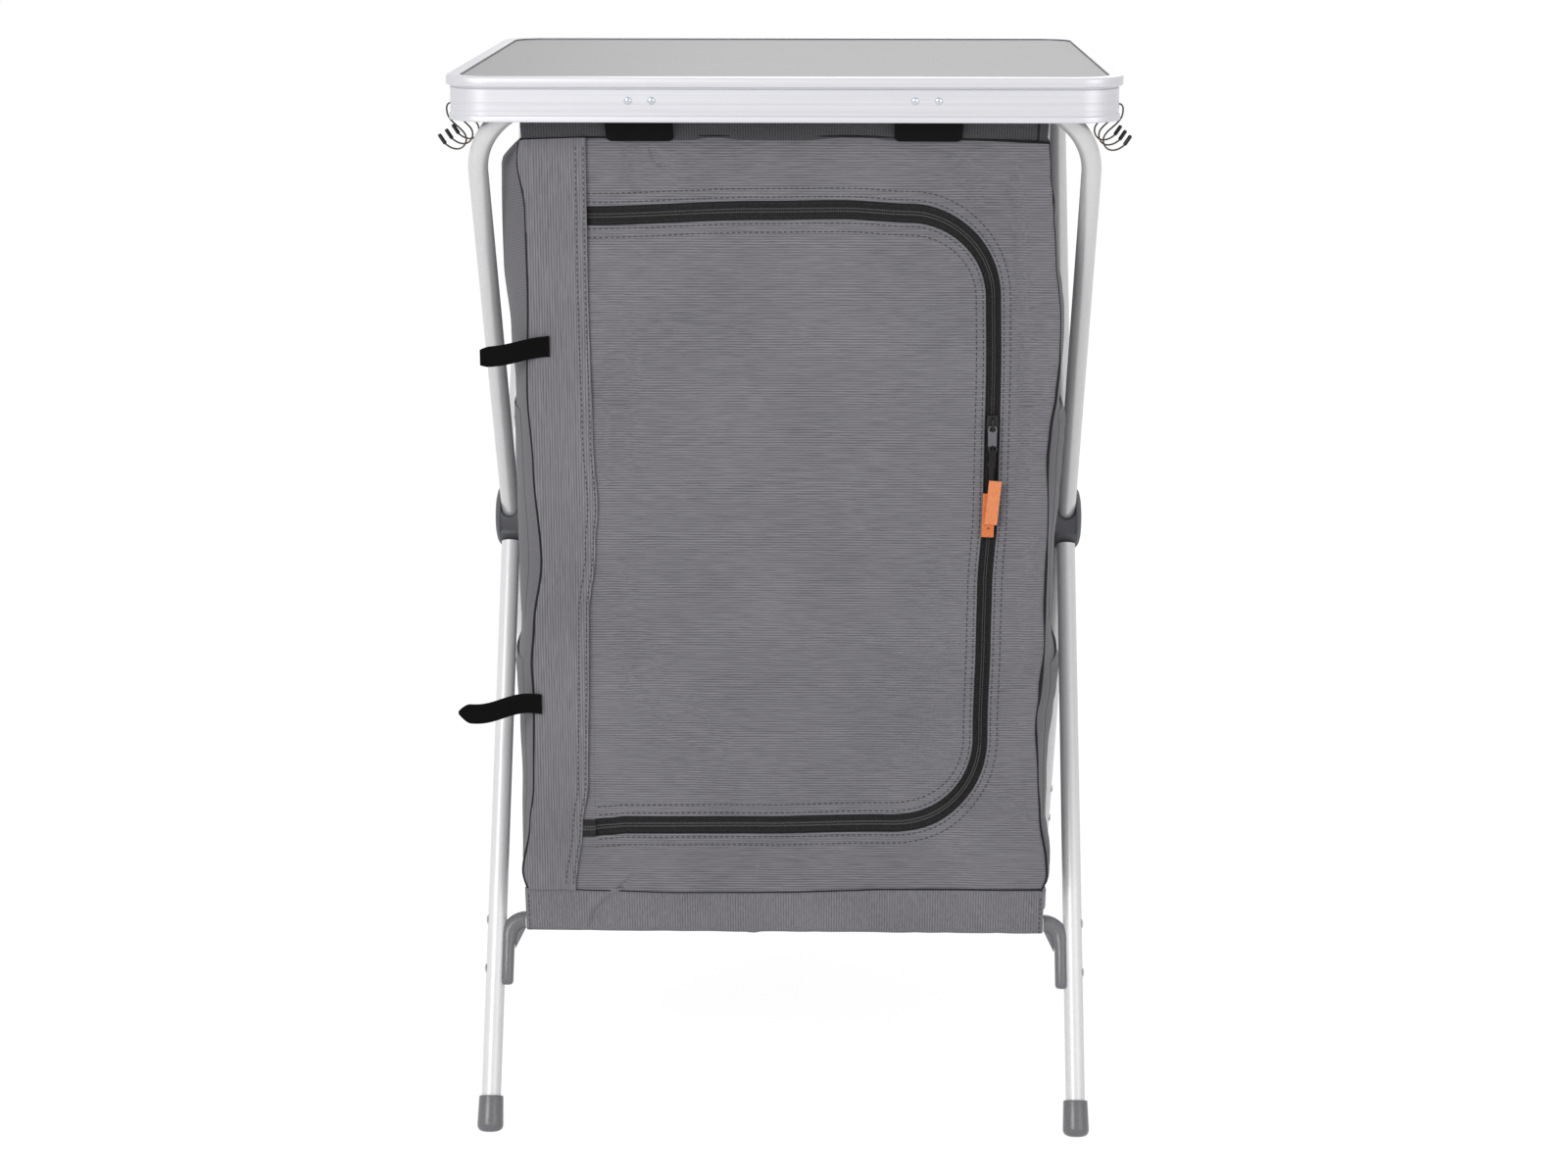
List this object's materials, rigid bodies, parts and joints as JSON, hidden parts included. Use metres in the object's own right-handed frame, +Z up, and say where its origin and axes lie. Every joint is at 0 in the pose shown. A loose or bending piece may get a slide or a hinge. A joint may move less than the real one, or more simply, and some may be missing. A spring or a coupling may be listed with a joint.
{
  "type": "camping cupboard",
  "caption": "Free-standing folding camping cupboard: a zipped fabric cabinet hung in an X-frame of round tubes, under a rimmed worktop with wire utensil hooks.",
  "frame": {"origin": "on the ground, at the middle of the footprint, below the hub pins' middle", "axes": "+Z up, -Y towards the door side, +X to the right seen from the front"},
  "size_m": [0.6204, 0.5964, 0.98],
  "materials": {
    "polyester_cloth": "ribbed grey polyester",
    "zip_tape": "woven tape with a nylon coil",
    "black_hook_and_loop": "black hook-and-loop tape",
    "zinc_plated_pin": "zinc plated",
    "hook_wire": "plated wire with a dipped black tip",
    "grey_moulding": "glossy light grey",
    "dark_moulding": "satin dark grey",
    "black_moulding": "satin black",
    "laminate": "grey laminate on board",
    "anodised_aluminium": "satin anodised",
    "coated_tube": "satin silver-grey coating",
    "black_zip_metal": "black enamel",
    "grey_zip_metal": "grey enamel",
    "orange_strap": "orange webbing on a black cord"
  },
  "bodies": {
    "cabinet": {"cabinet_back": "polyester_cloth", "cabinet_side_left": "polyester_cloth", "cabinet_side_right": "polyester_cloth", "cabinet_roof": "polyester_cloth", "cabinet_floor": "polyester_cloth", "shelf_lower": "polyester_cloth", "shelf_upper": "polyester_cloth", "front_surround": "polyester_cloth", "placket": "polyester_cloth", "side_pockets_left": "polyester_cloth", "side_pockets_right": "polyester_cloth", "front_skirt": "polyester_cloth", "rear_skirt": "polyester_cloth", "front_top_band": "polyester_cloth", "rear_top_band": "polyester_cloth", "zip_tape_outer": "zip_tape", "bar_strap_left": "black_hook_and_loop", "bar_strap_right": "black_hook_and_loop", "tie_strap_upper": "black_hook_and_loop", "tie_strap_lower": "black_hook_and_loop", "hub_pin_left": "zinc_plated_pin", "hub_pin_right": "zinc_plated_pin"},
    "frame_a": {"front_upper_frame": "coated_tube", "leg_rear_left": "coated_tube", "leg_rear_right": "coated_tube", "hub_outer_left": "dark_moulding", "hub_outer_right": "dark_moulding", "foot_rear_left": "grey_moulding", "foot_rear_right": "grey_moulding", "crossbar_rear": "coated_tube", "elbow_rear_left": "grey_moulding", "elbow_rear_right": "grey_moulding"},
    "frame_b": {"rear_upper_frame": "coated_tube", "leg_front_left": "coated_tube", "leg_front_right": "coated_tube", "hub_inner_left": "dark_moulding", "hub_inner_right": "dark_moulding", "foot_front_left": "grey_moulding", "foot_front_right": "grey_moulding", "crossbar_front": "coated_tube", "elbow_front_left": "grey_moulding", "elbow_front_right": "grey_moulding"},
    "tabletop": {"tabletop_panel": "laminate", "tabletop_rim": "anodised_aluminium", "bar_clip_left": "black_moulding", "bar_clip_right": "black_moulding", "bar_guide_left": "black_moulding", "bar_guide_right": "black_moulding"},
    "door": {"door_panel": "polyester_cloth", "zip_tape_inner": "zip_tape"},
    "slider": {"zip_slider": "black_zip_metal"},
    "pull": {"zip_pull": "grey_zip_metal"},
    "tag": {"pull_tag": "orange_strap"},
    "hook_left_1": {"utensil_hook_left_1": "hook_wire"},
    "hook_left_2": {"utensil_hook_left_2": "hook_wire"},
    "hook_left_3": {"utensil_hook_left_3": "hook_wire"},
    "hook_right_1": {"utensil_hook_right_1": "hook_wire"},
    "hook_right_2": {"utensil_hook_right_2": "hook_wire"},
    "hook_right_3": {"utensil_hook_right_3": "hook_wire"}
  },
  "joints": [
    {"name": "frame_a_fold", "type": "hinge", "parent": "cabinet", "child": "frame_a", "pos_m": [0, 0, 0.525], "axis": [-1, 0, 0], "range_deg": [0, 26], "deforming": ["front_top_band", "bar_strap_left", "bar_strap_right", "rear_skirt"]},
    {"name": "frame_b_fold", "type": "hinge", "parent": "cabinet", "child": "frame_b", "pos_m": [0, 0, 0.525], "axis": [1, 0, 0], "range_deg": [0, 26], "deforming": ["rear_top_band", "front_skirt"]},
    {"name": "tabletop_level", "type": "hinge", "parent": "frame_a", "child": "tabletop", "pos_m": [0, -0.2415, 0.9595], "axis": [1, 0, 0], "range_deg": [0, 26]},
    {"name": "door_hinge", "type": "hinge", "parent": "cabinet", "child": "door", "pos_m": [-0.178, -0.215, 0.565], "axis": [0, 0, -1], "range_deg": [0, 110]},
    {"name": "zip_slide", "type": "slide", "parent": "door", "child": "slider", "axis": [0, 0, 1], "range_m": [-0.285, 0.105]},
    {"name": "pull_swing", "type": "hinge", "parent": "slider", "child": "pull", "pos_m": [0.187, -0.2206, 0.6616], "axis": [-1, 0, 0], "range_deg": [0, 100]},
    {"name": "tag_swing", "type": "hinge", "parent": "pull", "child": "tag", "pos_m": [0.187, -0.2206, 0.6427], "axis": [-1, 0, 0], "range_deg": [0, 40]},
    {"name": "hook_left_1_swing", "type": "hinge", "parent": "tabletop", "child": "hook_left_1", "pos_m": [-0.29575, -0.21, 0.9537], "axis": [0, 1, 0], "range_deg": [0, 20]},
    {"name": "hook_left_2_swing", "type": "hinge", "parent": "tabletop", "child": "hook_left_2", "pos_m": [-0.29575, -0.165, 0.9537], "axis": [0, 1, 0], "range_deg": [0, 20]},
    {"name": "hook_left_3_swing", "type": "hinge", "parent": "tabletop", "child": "hook_left_3", "pos_m": [-0.29575, -0.12, 0.9537], "axis": [0, 1, 0], "range_deg": [0, 20]},
    {"name": "hook_right_1_swing", "type": "hinge", "parent": "tabletop", "child": "hook_right_1", "pos_m": [0.29575, -0.21, 0.9537], "axis": [0, -1, 0], "range_deg": [0, 20]},
    {"name": "hook_right_2_swing", "type": "hinge", "parent": "tabletop", "child": "hook_right_2", "pos_m": [0.29575, -0.165, 0.9537], "axis": [0, -1, 0], "range_deg": [0, 20]},
    {"name": "hook_right_3_swing", "type": "hinge", "parent": "tabletop", "child": "hook_right_3", "pos_m": [0.29575, -0.12, 0.9537], "axis": [0, -1, 0], "range_deg": [0, 20]}
  ],
  "couplings": [
    {"joint": "frame_b_fold", "follows": "frame_a_fold", "ratio": 1},
    {"joint": "tabletop_level", "follows": "frame_a_fold", "ratio": 1}
  ]
}
